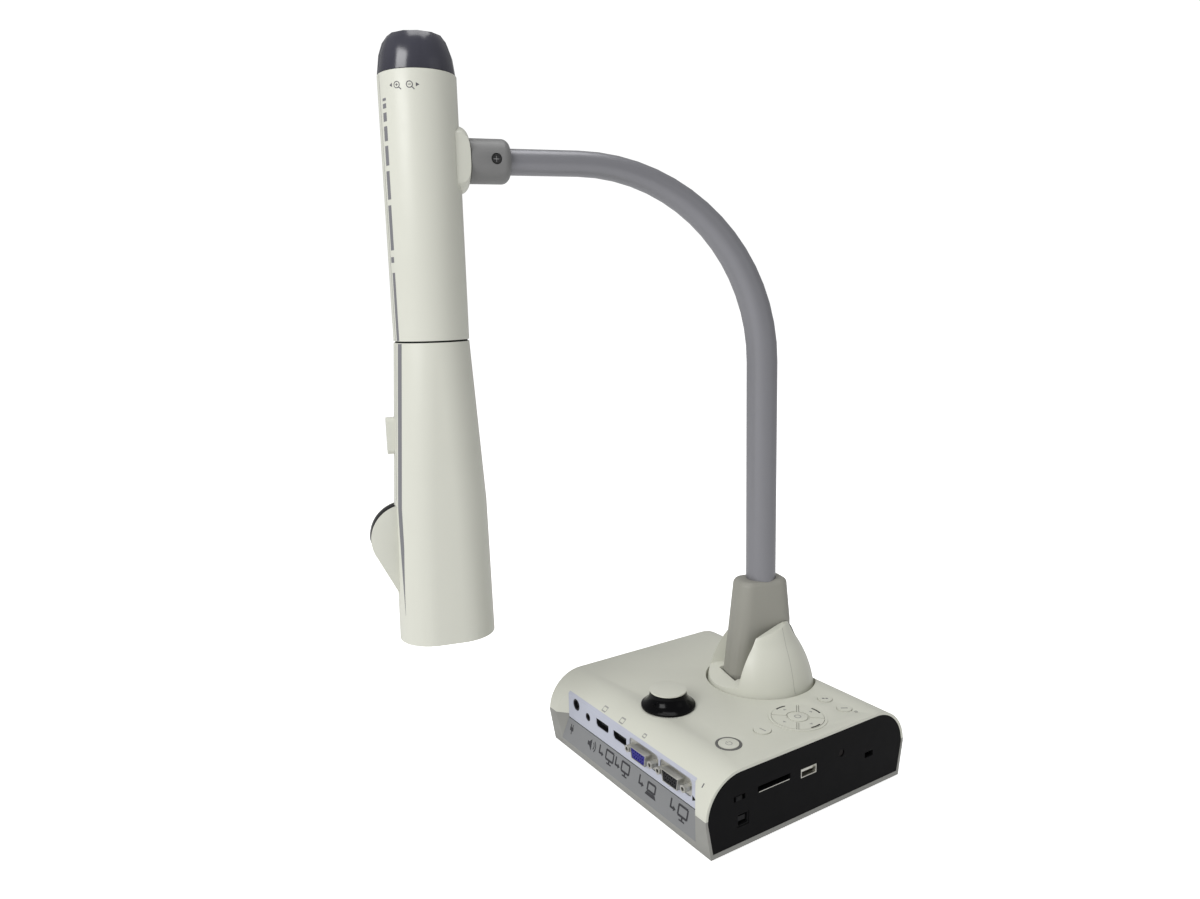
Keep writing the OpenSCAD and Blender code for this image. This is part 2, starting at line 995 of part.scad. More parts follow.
module hub_dome() {
  plate_top = hub_plate_z + hub_plate_t;
  color([0.92, 0.92, 0.87])
    arm_frame()
      difference() {
        union() {
          difference() {
            dome_solid(0, hub_plate_z);
            dome_solid(dome_wall, hub_plate_z - 1);
          }
          // cheeks that carry the tilt pin, sill of the mouth and screw bosses
          intersection() {
            dome_solid(1, plate_top);
            union() {
              for (s = [-1, 1])
                box(-40, 0, s * (slot_half + cheek_t / 2) - cheek_t / 2,
                    s * (slot_half + cheek_t / 2) + cheek_t / 2, plate_top, dome_top);
              translate([0, 0, plate_top])
                linear_extrude(height = dome_top)
                  difference() {
                    mouth_plan(cheek_t);
                    mouth_plan(0);
                  }
              translate([0, 0, plate_top])
                linear_extrude(height = lip_z - plate_top)
                  mouth_plan(1);
              for (a = [60, 180, 300])
                rotate([0, 0, a])
                  translate([31.2, 0, 0])
                    rod(3.6, plate_top, plate_top + 9);
              translate([0, 0, pivot_z])
                rod_y(13.6, -slot_half - 6, slot_half + 6);
            }
          }
        }
        // slot for the neck and its round foot
        across(slot_half)
          polygon([
            [-21.5, dome_top + 1], [-21.5, pivot_z], [0, pivot_z],
            [lip_s, lip_z], [50, lip_z - 8], [50, dome_top + 1]
          ]);
        translate([0, 0, pivot_z])
          rod_y(slot_r, -slot_half, slot_half);
        intersection() {
          translate([0, 0, pivot_z])
            rod_y(toe_r + 0.5, -slot_half, slot_half);
          box(0, 40, -slot_half - 1, slot_half + 1, toe_z - 9, pivot_z);
        }
        // mouth
        difference() {
          intersection() {
            translate([0, 0, lip_z - 10])
              linear_extrude(height = dome_top)
                mouth_plan(0);
            across(40)
              polygon([
                [-9, lip_z], [lip_s, lip_z], [50, lip_z - 10],
                [50, dome_top + 1], [-9, dome_top + 1]
              ]);
          }
          translate([0, 0, pivot_z])
            rod_y(13.6, -40, 40);
        }
        // tops of the cheeks, falling towards the head
        across(40)
          polygon([
            [-10, dome_top - 0.4], [40, dome_top - 0.4 - 50 * cheek_fall],
            [40, dome_top + 5], [-10, dome_top + 5]
          ]);
        // pin bores and screw holes
        translate([0, 0, pivot_z])
          rod_y(pin_d / 2 + 0.04, -25, 25);
        for (a = [60, 180, 300])
          rotate([0, 0, a])
            translate([31.2, 0, 0])
              rod(1.25, plate_top - 1, plate_top + 7);
      }
}

module hub_screws() {
  color([0.7, 0.7, 0.7])
    arm_frame()
      for (a = [60, 180, 300])
        rotate([0, 0, a])
          translate([31.2, 0, 0]) {
            rod(2.4, hub_plate_z - 1.3, hub_plate_z);
            rod(1.2, hub_plate_z, hub_plate_z + 9);
          }
}

// ---------- arm ----------

module tilt_pin() {
  color([0.62, 0.63, 0.65])
    arm_frame()
      translate([0, 0, pivot_z])
        rod_y(pin_d / 2, -20, 20);
}

module tilt_washers() {
  color([0.2, 0.2, 0.2])
    arm_frame()
      for (s = [-1, 1])
        translate([0, s * (neck_t / 2 + slot_half) / 2, pivot_z])
          rotate([-90, 0, 0])
            ring(13, pin_d / 2 + 0.2, neck_t / 4 - slot_half / 2, slot_half / 2 - neck_t / 4);
}

// Soft slab of the neck at height z, drawn in by i.
function neck_back(z) = -(18.1 + (120 - max(z, dome_top)) * 0.104);
function neck_front(z) = min(19.5 + (120 - z) * 0.118,
                             sqrt(pow(toe_r, 2) - pow(min(0, z - pivot_z), 2)));
module neck_slab(z, i) {
  x0 = neck_back(z) + i;
  x1 = neck_front(z) - i;
  translate([(x0 + x1) / 2, 0, z])
    linear_extrude(height = 0.01)
      soft_rect(x1 - x0, neck_t - 2 * i, 9 - i, $fn = 32);
}

module neck() {
  z1 = neck_top - neck_round;
  color([0.58, 0.58, 0.545])
    arm_frame()
      difference() {
        union() {
          intersection() {
            translate([0, 0, pivot_z])
              rod_y(drum_r, 0.1 - neck_t / 2, neck_t / 2 - 0.1);
            translate([0, 0, 30])
              linear_extrude(height = 80)
                soft_rect(2 * drum_r + 0.6, neck_t + 0.2, 9);
          }
          // shank, its toe rounded about the tilt pin
          hull() {
            for (z = [toe_z, toe_z + 5, dome_top])
              neck_slab(z, 0);
            for (a = [0 : 22.5 : 90])
              neck_slab(z1 + neck_round * sin(a), neck_round * (1 - cos(a)));
          }
        }
        rod(mast_d / 2 + 0.02, tube_foot, neck_top + 1);
        translate([0, 0, pivot_z])
          rod_y(pin_d / 2 + 0.04, -20, 20);
        // cable way past the pin
        translate([9, 0, 0])
          rod(3.2, 40, tube_foot + 1);
      }
}

// Points round the tube at every station: straight mast, bend, level end.
function tube_r(k) = (mast_d + (tip_d - mast_d) * pow(sin(k * 90 / tube_steps), 2)) / 2;
function station(k, r, a) =
  let (t = 90 * k / tube_steps, q = bend_r + r * cos(a))
  [bend_r - q * cos(t), r * sin(a), arm_z - bend_r + q * sin(t)];
function tube_points(inset) = [
  for (a = [0 : 360 / tube_sides : 359])
    [-(mast_d / 2 - inset) * cos(a), (mast_d / 2 - inset) * sin(a), tube_foot],
  for (k = [0 : tube_steps], a = [0 : 360 / tube_sides : 359])
    station(k, tube_r(k) - inset, a),
  for (a = [0 : 360 / tube_sides : 359])
    [tube_tip, (tip_d / 2 - inset) * sin(a), arm_z + (tip_d / 2 - inset) * cos(a)]
];
function skin(first, flip) = [
  for (k = [0 : tube_steps + 1], j = [0 : tube_sides - 1])
    let (a = first + k * tube_sides + j, b = first + k * tube_sides + (j + 1) % tube_sides,
         c = b + tube_sides, d = a + tube_sides)
    each flip ? [[a, b, c], [a, c, d]] : [[a, c, b], [a, d, c]]
];
function end_face(first, second, flip) = [
  for (j = [0 : tube_sides - 1])
    let (a = first + j, b = first + (j + 1) % tube_sides,
         c = second + (j + 1) % tube_sides, d = second + j)
    each flip ? [[a, c, b], [a, d, c]] : [[a, b, c], [a, c, d]]
];

module mast_tube() {
  inner = tube_sides * (tube_steps + 3);
  last = tube_sides * (tube_steps + 2);
  color([0.66, 0.66, 0.69])
    arm_frame()
      polyhedron(
        points = concat(tube_points(0), tube_points(tube_wall)),
        faces = concat(skin(0, true), skin(inner, false),
                       end_face(0, inner, true), end_face(last, inner + last, false)),
        convexity = 6
      );
}

module arm_cable() {
  color([0.08, 0.08, 0.08])
    arm_frame() {
      rod(2.2, tube_foot + 1, arm_z - bend_r);
      translate([bend_r, 0, arm_z - bend_r])
        rotate([90, 0, 180])
          rotate_extrude(angle = 90)
            translate([bend_r, 0])
              circle(r = 2.2);
      translate([0, 0, arm_z])
        rod_x(2.2, bend_r, tube_tip);
    }
}

module end_barrel() {
  color([0.56, 0.56, 0.55])
    arm_frame()
      translate([barrel_tip, 0, arm_z])
        rotate([0, 90, 0])
          difference() {
            rotate_extrude()
              union() {
                translate([0, 5])
                  square([barrel_r, barrel_end - barrel_tip - 5]);
                square([barrel_r - 5, 6]);
                translate([barrel_r - 5, 5])
                  circle(r = 5);
              }
            rod(tip_d / 2 + 0.05, -1, tube_tip - barrel_tip + 0.3);
            rod(shaft_r + 0.02, 0, 40);
            translate([0, 0, 9.6])
              rotate([-90, 0, 0]) {
                rod(3.2, barrel_r - 2.6, barrel_r + 1);
                rod(1.5, tip_d / 2 - 1, barrel_r);
              }
          }
}

module barrel_screw() {
  color([0.35, 0.35, 0.36])
    arm_frame()
      translate([barrel_tip + 9.6, 0, arm_z])
        rotate([-90, 0, 0])
          difference() {
            union() {
              rod(2.8, barrel_r - 2.6, barrel_r - 0.9);
              rod(1.45, tip_d / 2 + 0.1, barrel_r - 2.6);
            }
            box(-1.9, 1.9, -0.35, 0.35, barrel_r - 1.9, barrel_r);
            box(-0.35, 0.35, -1.9, 1.9, barrel_r - 1.9, barrel_r);
          }
}

module swivel_shaft() {
  color([0.62, 0.63, 0.65])
    arm_frame()
      translate([0, 0, arm_z])
        difference() {
          union() {
            rod_x(shaft_r, tube_tip + 0.8, 206);
            rod_x(8, 204.6, 207);
          }
          rod_x(2.6, 180, 210);
        }
}

// ---------- head ----------

// Round flange behind the head, with flat sides so that it hides behind the column.
module head_flange() {
  color([0.9, 0.9, 0.86])
    arm_frame()
      difference() {
        intersection() {
          translate([barrel_end + 0.5, 0, arm_z])
            rotate([0, 90, 0])
              rotate_extrude() {
                translate([0, flange_round])
                  square([flange_half, 18 - flange_round]);
                square([flange_half - flange_round, 10]);
                translate([flange_half - flange_round, flange_round])
                  circle(r = flange_round, $fn = 72);
              }
          box(barrel_end, head_s, -flange_side, flange_side, arm_z - 30, arm_z + 30);
        }
        translate([head_s, 0, 0])
          rod(head_r + 0.03, 300, 460);
        translate([0, 0, arm_z])
          rod_x(shaft_r + 0.04, barrel_end - 5, head_s);
      }
}

module upper_housing() {
  color([0.93, 0.93, 0.89])
    head_frame()
      difference() {
        union() {
          difference() {
            rod(head_r, seam_z + seam_gap / 2, head_top);
            rod(head_r - head_wall, seam_z + 3, head_top - 2.4);
          }
          // collar round the swivel shaft
          intersection() {
            translate([0, 0, arm_z])
              rod_x(10, -head_r + 1, -head_r + 4.6);
            rod(head_r - 0.5, seam_z, head_top);
          }
        }
        translate([0, 0, arm_z])
          rod_x(shaft_r + 0.04, -30, -10);
        rod(spindle_head_r + 0.04, seam_z - 1, seam_z + 5);
        rod(3.3, head_top - 4, head_top + 1);
      }
}

module zoom_cap() {
  color([0.3, 0.3, 0.36])
    head_frame()
      difference() {
        union() {
          translate([0, 0, head_top + 0.4])
            cylinder(r1 = 22.4, r2 = 20.9, h = 10.6, $fn = 12);
          translate([0, 0, head_top + 11])
            cylinder(r1 = 20.9, r2 = 18.6, h = 6.5, $fn = 12);
          translate([0, 0, head_top + 17.5])
            cylinder(r1 = 18.6, r2 = 15.6, h = cap_h - 17.5, $fn = 12);
          rod(3.24, head_top - 4.2, head_top + 0.5);
          rod(4.4, head_top - 4.2, head_top - 2.7);
        }
        ring(18.4, 7, head_top, head_top + 9);
        rod(1.6, head_top - 5, head_top + 9);
      }
}

// Outline of the lower housing where it has widened by w, shrunk by i.
module lower_outline(i, w) {
  for (s = [-1, 1])
    translate([s * w, 0])
      circle(r = head_r - i, $fn = 64);
  square([2 * w, head_d - 2 * i], center = true);
}

// Solid of the lower housing, shrunk by i; g lengthens it at the rim.
module lower_solid(i, g) {
  hull() {
    translate([0, 0, seam_z - seam_gap / 2 - 0.01])
      cylinder(r = head_r - i, h = 0.01, $fn = 64);
    for (s = [-1, 1])
      translate([s * flare, 0, flare_z])
        cylinder(r = head_r - i, h = 0.01, $fn = 64);
  }
  hull()
    for (s = [-1, 1]) {
      translate([s * flare, 0, flare_z])
        cylinder(r = head_r - i, h = 0.01, $fn = 64);
      translate([s * rim_flare, 0, rim_z - g])
        cylinder(r = head_r - i, h = 0.01, $fn = 64);
    }
}

module lower_housing() {
  color([0.93, 0.93, 0.89])
    head_frame()
      difference() {
        lower_solid(0, 0);
        difference() {
          lower_solid(head_wall, 1);
          rod(head_d, seam_z - 4, seam_z + 1);
        }
        rod(spindle_head_r - 1.4, seam_z - 10, seam_z + 5);
        translate([0, 0, button_z])
          rotate([90, 0, 90])
            linear_extrude(height = 40)
              soft_rect(8.6, 23, 3.9);
      }
}

module head_spindle() {
  color([0.55, 0.56, 0.58])
    head_frame()
      difference() {
        union() {
          rod(spindle_head_r, seam_z - seam_gap / 2, seam_z + 4.8);
          rod(12, seam_z + 3.4, seam_z + 5.4);
        }
        rod(5, seam_z - 2, seam_z + 6);
      }
}

// Camera barrel with its front lens and board, looking straight down.
module camera_module() {
  color([0.12, 0.12, 0.13])
    head_frame() {
      difference() {
        union() {
          rod(17, rim_z + 6, rim_z + 46);
          translate([0, 0, rim_z + 3])
            linear_extrude(height = 3.5)
              lower_outline(head_wall + 0.15, rim_flare - 0.1);
        }
        rod(lens_r, rim_z, rim_z + 10);
      }
      translate([0, 0, rim_z - 4.5])
        intersection() {
          rod(lens_r, 10, 14.6);
          translate([0, 0, 32])
            sphere(r = 24);
        }
      box(-19, 19, -15, 15, rim_z + 46, rim_z + 48);
    }
}

// Side outline of the lamp hood, out from the head axis and up.
module pod_side() {
  translate([pod_out, pod_z])
    circle(r = pod_r, $fn = 96);
  polygon([
    [pod_out - 8, pod_foot_z], [pod_foot, pod_foot_z], [pod_out + 18.7, pod_z - 9.5],
    [pod_out, pod_z], [pod_out - 8, pod_z]
  ]);
}

// Sector of the hood taken by the lamp window.
module window_sector(r) {
  intersection() {
    translate([pod_out, pod_z])
      circle(r = r, $fn = 96);
    translate([pod_out, pod_z])
      polygon([[0, 0], [40, -2], [40, 40], [0, 40]]);
  }
}

module across(half) {
  translate([0, half, 0])
    rotate([90, 0, 0])
      linear_extrude(height = 2 * half)
        children();
}

module lamp_pod() {
  color([0.92, 0.92, 0.88])
    head_frame()
      difference() {
        intersection() {
          across(pod_half)
            pod_side();
          rotate([90, 0, 90])
            linear_extrude(height = 60)
              polygon([
                [-pod_half, 210], [-pod_half, 176], [-4.5, pod_foot_z - 1],
                [4.5, pod_foot_z - 1], [pod_half, 176], [pod_half, 210]
              ]);
        }
        lower_solid(-0.03, 0);
        across(window_half + 0.1)
          difference() {
            window_sector(pod_r + 2);
            translate([pod_out, pod_z])
              circle(r = pod_r - 2, $fn = 96);
          }
      }
}

module lamp_window() {
  color([0.06, 0.06, 0.07])
    head_frame()
      difference() {
        across(window_half)
          difference() {
            window_sector(pod_r + 0.2);
            translate([pod_out, pod_z])
              circle(r = pod_r - 1.9, $fn = 96);
          }
        lower_solid(-0.1, 0);
      }
}

module head_button() {
  color([0.9, 0.9, 0.86])
    head_frame()
      translate([0, 0, button_z])
        rotate([90, 0, 90])
          translate([0, 0, button_in]) {
            linear_extrude(height = button_out - button_in)
              soft_rect(8, 22.4, 3.6);
            translate([0, 0, -1.2])
              linear_extrude(height = 1.2)
                soft_rect(10, 24.4, 3.6);
          }
}

foot_frame();
base_tray();
base_screws();
weight_plate();
main_board();
board_screws();
top_cover();
front_panel();
connector_plate();
connector_bezel();
dc_jack();
audio_jack();
hdmi_sockets();
vga_shells();
vga_input_insert();
vga_output_insert();
vga_jackscrews();
card_socket();
usb_a_socket();
usb_b_socket();
mode_switch();
ir_sensor();
key_board();
power_button();
power_ring();
pad_bezel();
pad_right_key();
pad_back_key();
pad_left_key();
pad_front_key();
enter_button();
menu_button();
image_button();
record_button();
status_led();
dial();
dial_cap();
dial_encoder();
thrust_washer();
hub_spindle();
hub_nut();
hub_dome();
hub_screws();
tilt_pin();
tilt_washers();
neck();
mast_tube();
arm_cable();
end_barrel();
barrel_screw();
swivel_shaft();
head_flange();
upper_housing();
zoom_cap();
head_spindle();
lower_housing();
camera_module();
lamp_pod();
lamp_window();
head_button();
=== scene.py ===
"""Document camera: looks, details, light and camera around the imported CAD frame."""
import math

import bmesh
import bpy
from mathutils import Matrix, Vector


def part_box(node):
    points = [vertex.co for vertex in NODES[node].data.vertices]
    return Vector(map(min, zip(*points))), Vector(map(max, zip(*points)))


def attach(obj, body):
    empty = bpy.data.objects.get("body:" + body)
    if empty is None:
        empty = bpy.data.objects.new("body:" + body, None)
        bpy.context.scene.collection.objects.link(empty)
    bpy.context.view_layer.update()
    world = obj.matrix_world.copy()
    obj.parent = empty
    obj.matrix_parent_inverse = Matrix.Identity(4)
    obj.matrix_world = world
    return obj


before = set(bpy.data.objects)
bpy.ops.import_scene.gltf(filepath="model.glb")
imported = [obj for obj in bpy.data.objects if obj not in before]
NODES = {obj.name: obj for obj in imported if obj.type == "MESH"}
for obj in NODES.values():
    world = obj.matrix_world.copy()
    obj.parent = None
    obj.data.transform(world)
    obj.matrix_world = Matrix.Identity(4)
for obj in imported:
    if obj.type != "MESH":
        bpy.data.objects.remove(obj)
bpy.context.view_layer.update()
scene = bpy.context.scene

# ---------------------------------------------------------------- camera
CAM_RIGHT = Vector((0.83973, -0.54245, -0.02468))
CAM_UP = Vector((0.11136, 0.12756, 0.98556))
CAM_FORWARD = Vector((0.53147, 0.83035, -0.16752))
CAM_PLACE = Vector((-0.38051, -0.44807, 0.32363))
SENSOR_WIDTH = 36.0
LENS = 26.40

camera_data = bpy.data.cameras.new("camera")
camera_data.sensor_width = SENSOR_WIDTH
camera_data.lens = LENS
camera_data.clip_start = 0.01
camera = bpy.data.objects.new("camera", camera_data)
rotation = Matrix((CAM_RIGHT, CAM_UP, -CAM_FORWARD)).transposed().to_4x4()
camera.matrix_world = Matrix.Translation(CAM_PLACE) @ rotation
scene.collection.objects.link(camera)
scene.camera = camera
scene.view_settings.view_transform = "Standard"
scene.view_settings.look = "None"

# ---------------------------------------------------------------- frame of the arm
# The arm stands in one upright plane through the hub; the head hangs at HEAD_S along it.
HUB = Vector((0.0383, -0.0016, 0.0))
HEADING = math.radians(165.0)
OUT = Vector((math.cos(HEADING), math.sin(HEADING), 0.0))
SIDE = Vector((-math.sin(HEADING), math.cos(HEADING), 0.0))
UP = Vector((0.0, 0.0, 1.0))
HEAD_S = 0.2223
ARM_Z = 406.5


def arm_point(s, t, z):
    """World point: s out along the arm, t across it, z up."""
    return HUB + OUT * s + SIDE * t + UP * z


# ---------------------------------------------------------------- materials
DRIFT_SCALE = 22.0
POLISH_SCALE = 130.0
RAMP_STOPS = (0.3, 0.7)
GRAIN_HEIGHT = 0.0002


def new_material(name):
    mat = bpy.data.materials.new(name)
    mat.use_nodes = True
    tree = mat.node_tree
    tree.nodes.clear()
    out = tree.nodes.new("ShaderNodeOutputMaterial")
    shader = tree.nodes.new("ShaderNodeBsdfPrincipled")
    tree.links.new(shader.outputs["BSDF"], out.inputs["Surface"])
    coords = tree.nodes.new("ShaderNodeTexCoord")
    return mat, tree, shader, coords


def noise(tree, coords, scale, detail, rough):
    node = tree.nodes.new("ShaderNodeTexNoise")
    node.inputs["Scale"].default_value = scale
    node.inputs["Detail"].default_value = detail
    node.inputs["Roughness"].default_value = rough
    tree.links.new(coords.outputs["Object"], node.inputs["Vector"])
    return node


def ramp(tree, source, low, high):
    """Two-stop ramp across the middle of a noise, from colour low to colour high."""
    node = tree.nodes.new("ShaderNodeValToRGB")
    for element, place, colour in zip(node.color_ramp.elements, RAMP_STOPS, (low, high)):
        element.position = place
        element.color = (*colour, 1.0)
    tree.links.new(source, node.inputs["Fac"])
    return node


def scaled(colour, k):
    return tuple(min(1.0, c * k) for c in colour)


def moulded(name, colour, rough, grain=1800.0, depth=0.06, spread=0.03, metal=0.0,
            rough_spread=0.06, shine=0.5):
    """Moulded or finished surface: slow tone drift, fine grain, uneven polish."""
    mat, tree, shader, coords = new_material(name)
    drift = noise(tree, coords, DRIFT_SCALE, 4.0, 0.55)
    tone = ramp(tree, drift.outputs["Fac"], scaled(colour, 1.0 - spread),
                scaled(colour, 1.0 + spread))
    tree.links.new(tone.outputs["Color"], shader.inputs["Base Color"])
    polish = noise(tree, coords, POLISH_SCALE, 5.0, 0.6)
    gloss = ramp(tree, polish.outputs["Fac"], (rough - rough_spread,) * 3,
                 (rough + rough_spread,) * 3)
    tree.links.new(gloss.outputs["Color"], shader.inputs["Roughness"])
    fine = noise(tree, coords, grain, 2.0, 0.5)
    bump = tree.nodes.new("ShaderNodeBump")
    bump.inputs["Strength"].default_value = depth
    bump.inputs["Distance"].default_value = GRAIN_HEIGHT
    tree.links.new(fine.outputs["Fac"], bump.inputs["Height"])
    tree.links.new(bump.outputs["Normal"], shader.inputs["Normal"])
    shader.inputs["Metallic"].default_value = metal
    shader.inputs["Specular IOR Level"].default_value = shine
    return mat


M = {
    "cream": moulded("cream_plastic", (0.66, 0.665, 0.585), 0.36, depth=0.03, spread=0.012,
                     shine=0.35),
    "cream_head": moulded("cream_head", (0.67, 0.675, 0.60), 0.36, depth=0.02, spread=0.01,
                          shine=0.35),
    "tray": moulded("tray_grey", (0.30, 0.30, 0.28), 0.52, depth=0.10, shine=0.3),
    "neck": moulded("neck_grey", (0.32, 0.315, 0.28), 0.45, depth=0.08, spread=0.02, shine=0.3),
    "barrel": moulded("barrel_grey", (0.205, 0.205, 0.205), 0.40, depth=0.06, spread=0.02,
                      shine=0.3),
    "panel": moulded("panel_black", (0.007, 0.007, 0.0075), 0.42, depth=0.02, shine=0.04),
    "dial": moulded("dial_black", (0.002, 0.002, 0.0025), 0.16, depth=0.01, shine=0.12),
    "plate": moulded("plate_white", (0.50, 0.52, 0.60), 0.45, depth=0.04, shine=0.3),
    "bezel": moulded("bezel_grey", (0.235, 0.24, 0.245), 0.4, depth=0.08, shine=0.3),
    "trim": moulded("trim_grey", (0.14, 0.14, 0.135), 0.42, shine=0.3),
    "black": moulded("black_plastic", (0.010, 0.010, 0.011), 0.5, depth=0.12, shine=0.2),
    "blue": moulded("blue_plastic", (0.012, 0.010, 0.20), 0.45, depth=0.1, shine=0.3),
    "plated": moulded("plated_steel", (0.60, 0.59, 0.54), 0.3, metal=1.0, spread=0.05),
    "shell": moulded("plated_shell", (0.46, 0.455, 0.42), 0.38, metal=0.85, spread=0.06),
    # Barrel screw: its near-black tone is partly its own colour and partly painted shade of the
    # recess it sits in.
    "screw": moulded("near_black_screw_painted_shade", (0.012, 0.012, 0.013), 0.22, depth=0.02, shine=0.8),
    "steel": moulded("turned_steel", (0.42, 0.42, 0.43), 0.35, metal=1.0, spread=0.06),
    "tube": moulded("tube_metal", (0.235, 0.235, 0.255), 0.34, grain=2600.0, metal=0.25,
                    depth=0.008, spread=0.012, shine=0.6, rough_spread=0.02),
    "board": moulded("board_green", (0.02, 0.10, 0.04), 0.4, spread=0.15),
    "rubber": moulded("rubber", (0.02, 0.02, 0.02), 0.75, depth=0.2, shine=0.2),
    "nylon": moulded("nylon", (0.65, 0.65, 0.58), 0.5),
    "smoke": moulded("zoom_smoke", (0.040, 0.040, 0.055), 0.20, spread=0.2, shine=0.6),
    "led": moulded("led_pipe", (0.42, 0.43, 0.38), 0.25),
    "lens": moulded("lens_black", (0.006, 0.006, 0.009), 0.08, depth=0.0, shine=0.5),
    "window": moulded("window_black", (0.004, 0.004, 0.005), 0.3, depth=0.01, shine=0.06),
    "sensor": moulded("sensor_red", (0.004, 0.002, 0.002), 0.2, shine=0.1),
    "ink": moulded("print_grey", (0.115, 0.11, 0.125), 0.45, shine=0.2),
    "ink_light": moulded("print_light", (0.36, 0.36, 0.34), 0.5, shine=0.2),
    "ink_bezel": moulded("print_bezel", (0.045, 0.045, 0.05), 0.45, shine=0.2),
    "stripe": moulded("print_stripe", (0.20, 0.20, 0.215), 0.42, shine=0.2),
    "hair": moulded("hairline", (0.47, 0.47, 0.42), 0.5, shine=0.2),
    "glint": moulded("screw_glint", (0.55, 0.55, 0.56), 0.3, metal=1.0),
    # Near-black: painted shade in the gap rings and pad slits, and the printed arrow on the
    # connector plate.
    "gap": moulded("gap_dark", (0.02, 0.02, 0.02), 0.8, shine=0.1),
}

NODE_LOOK = {
    "foot_frame": "rubber", "base_tray": "tray", "base_screws": "steel", "weight_plate": "steel",
    "main_board": "board", "board_screws": "steel", "top_cover": "cream", "front_panel": "panel",
    "connector_plate": "plate", "connector_bezel": "bezel", "dc_jack": "black",
    "audio_jack": "black", "hdmi_sockets": "black", "vga_shells": "shell",
    "vga_input_insert": "blue", "vga_output_insert": "black", "vga_jackscrews": "shell",
    "card_socket": "black", "usb_a_socket": "plated", "usb_b_socket": "black",
    "mode_switch": "black", "ir_sensor": "sensor", "key_board": "board",
    "power_button": "cream", "power_ring": "trim", "pad_bezel": "cream", "pad_right_key": "cream",
    "pad_back_key": "cream", "pad_left_key": "cream", "pad_front_key": "cream",
    "enter_button": "cream", "menu_button": "cream", "image_button": "cream",
    "record_button": "cream", "status_led": "led", "dial": "dial", "dial_cap": "cream",
    "dial_encoder": "black", "thrust_washer": "nylon", "hub_spindle": "steel",
    "hub_nut": "steel", "hub_dome": "cream", "hub_screws": "steel", "tilt_pin": "steel",
    "tilt_washers": "nylon", "neck": "neck", "mast_tube": "tube", "arm_cable": "rubber",
    "end_barrel": "barrel", "barrel_screw": "screw", "swivel_shaft": "steel",
    "head_flange": "cream_head", "upper_housing": "cream_head", "zoom_cap": "smoke",
    "head_spindle": "steel", "lower_housing": "cream_head", "camera_module": "lens",
    "lamp_pod": "cream_head", "lamp_window": "window", "head_button": "cream_head",
}
BEVEL_MM = {
    "top_cover": 0.5, "base_tray": 0.4, "neck": 0.4, "hub_dome": 0.8,
    "lower_housing": 0.5, "upper_housing": 0.5, "zoom_cap": 0.3, "lamp_pod": 1.0,
    "lamp_window": 0.3, "head_button": 1.2, "dial": 0.3, "dial_cap": 0.3, "power_button": 0.4,
    "enter_button": 0.4, "power_ring": 0.15, "head_flange": 0.5, "end_barrel": 0.3,
    "vga_shells": 0.15, "usb_a_socket": 0.1, "connector_bezel": 0.2,
}
SHARP = math.radians(32.0)

for name, node in NODES.items():
    mesh = node.data
    mesh.materials.clear()
    mesh.materials.append(M[NODE_LOOK[name]])
    weld = node.modifiers.new("weld", "WELD")
    weld.merge_threshold = 0.00001
    if name in BEVEL_MM:
        bevel = node.modifiers.new("bevel", "BEVEL")
        bevel.width = BEVEL_MM[name] / 1000
        bevel.segments = 3
        bevel.limit_method = "ANGLE"
        bevel.angle_limit = math.radians(35.0)
        bevel.harden_normals = False
    mesh.polygons.foreach_set("use_smooth", [True] * len(mesh.polygons))
    smooth = node.modifiers.new("smooth_by_angle", "EDGE_SPLIT")
    smooth.split_angle = SHARP
    smooth.use_edge_sharp = False

# ---------------------------------------------------------------- printed and moulded details
MM = 0.001
INK_LIFT = 0.07
INK_SINK = 0.12
HEAD_R = 22.5
FLARE = 5.9
FLARE_Z = 203.0
RIM_FLARE = 7.2
RIM_Z = 117.5
SEAM_Z = 301.45


def add_mesh(name, verts, faces, look, body):
    mesh = bpy.data.meshes.new(name)
    mesh.from_pydata([tuple(v) for v in verts], [], faces)
    bm = bmesh.new()
    bm.from_mesh(mesh)
    bmesh.ops.recalc_face_normals(bm, faces=bm.faces)
    bm.to_mesh(mesh)
    bm.free()
    obj = bpy.data.objects.new(name, mesh)
    scene.collection.objects.link(obj)
    mesh.materials.append(M[look])
    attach(obj, body)


def sheet_mesh(grid_top, grid_low):
    """Closed thin sheet between two matching grids of points."""
    rows, cols = len(grid_top), len(grid_top[0])
    verts = [p for row in grid_top for p in row] + [p for row in grid_low for p in row]
    low = rows * cols
    faces = []
    for i in range(rows - 1):
        for j in range(cols - 1):
            a, b = i * cols + j, i * cols + j + 1
            faces.append((a, b, b + cols, a + cols))
            faces.append((low + a + cols, low + b + cols, low + b, low + a))
    rim = list(range(cols))
    rim += [i * cols + cols - 1 for i in range(1, rows)]
    rim += [(rows - 1) * cols + j for j in range(cols - 2, -1, -1)]
    rim += [i * cols for i in range(rows - 2, 0, -1)]
    for k, a in enumerate(rim):
        b = rim[(k + 1) % len(rim)]
        faces.append((a, low + a, low + b, b))
    return verts, faces


def join_meshes(parts):
    verts, faces = [], []
    for part_verts, part_faces in parts:
        start = len(verts)
        verts += part_verts
        faces += [tuple(start + k for k in face) for face in part_faces]
    return verts, faces


def column_point(phi, z, lift, lower):
    """Point on the head's skin: phi degrees from the front, z in mm."""
    if not lower:
        spread = 0.0
    elif z > FLARE_Z:
        spread = FLARE * max(0.0, (SEAM_Z - z) / (SEAM_Z - FLARE_Z))
    else:
        spread = FLARE + (RIM_FLARE - FLARE) * (FLARE_Z - z) / (FLARE_Z - RIM_Z)
    radius = HEAD_R + lift
    a = math.radians(phi)
    return arm_point(HEAD_S + (spread + radius * math.cos(a)) * MM, radius * math.sin(a) * MM,
                     z * MM)


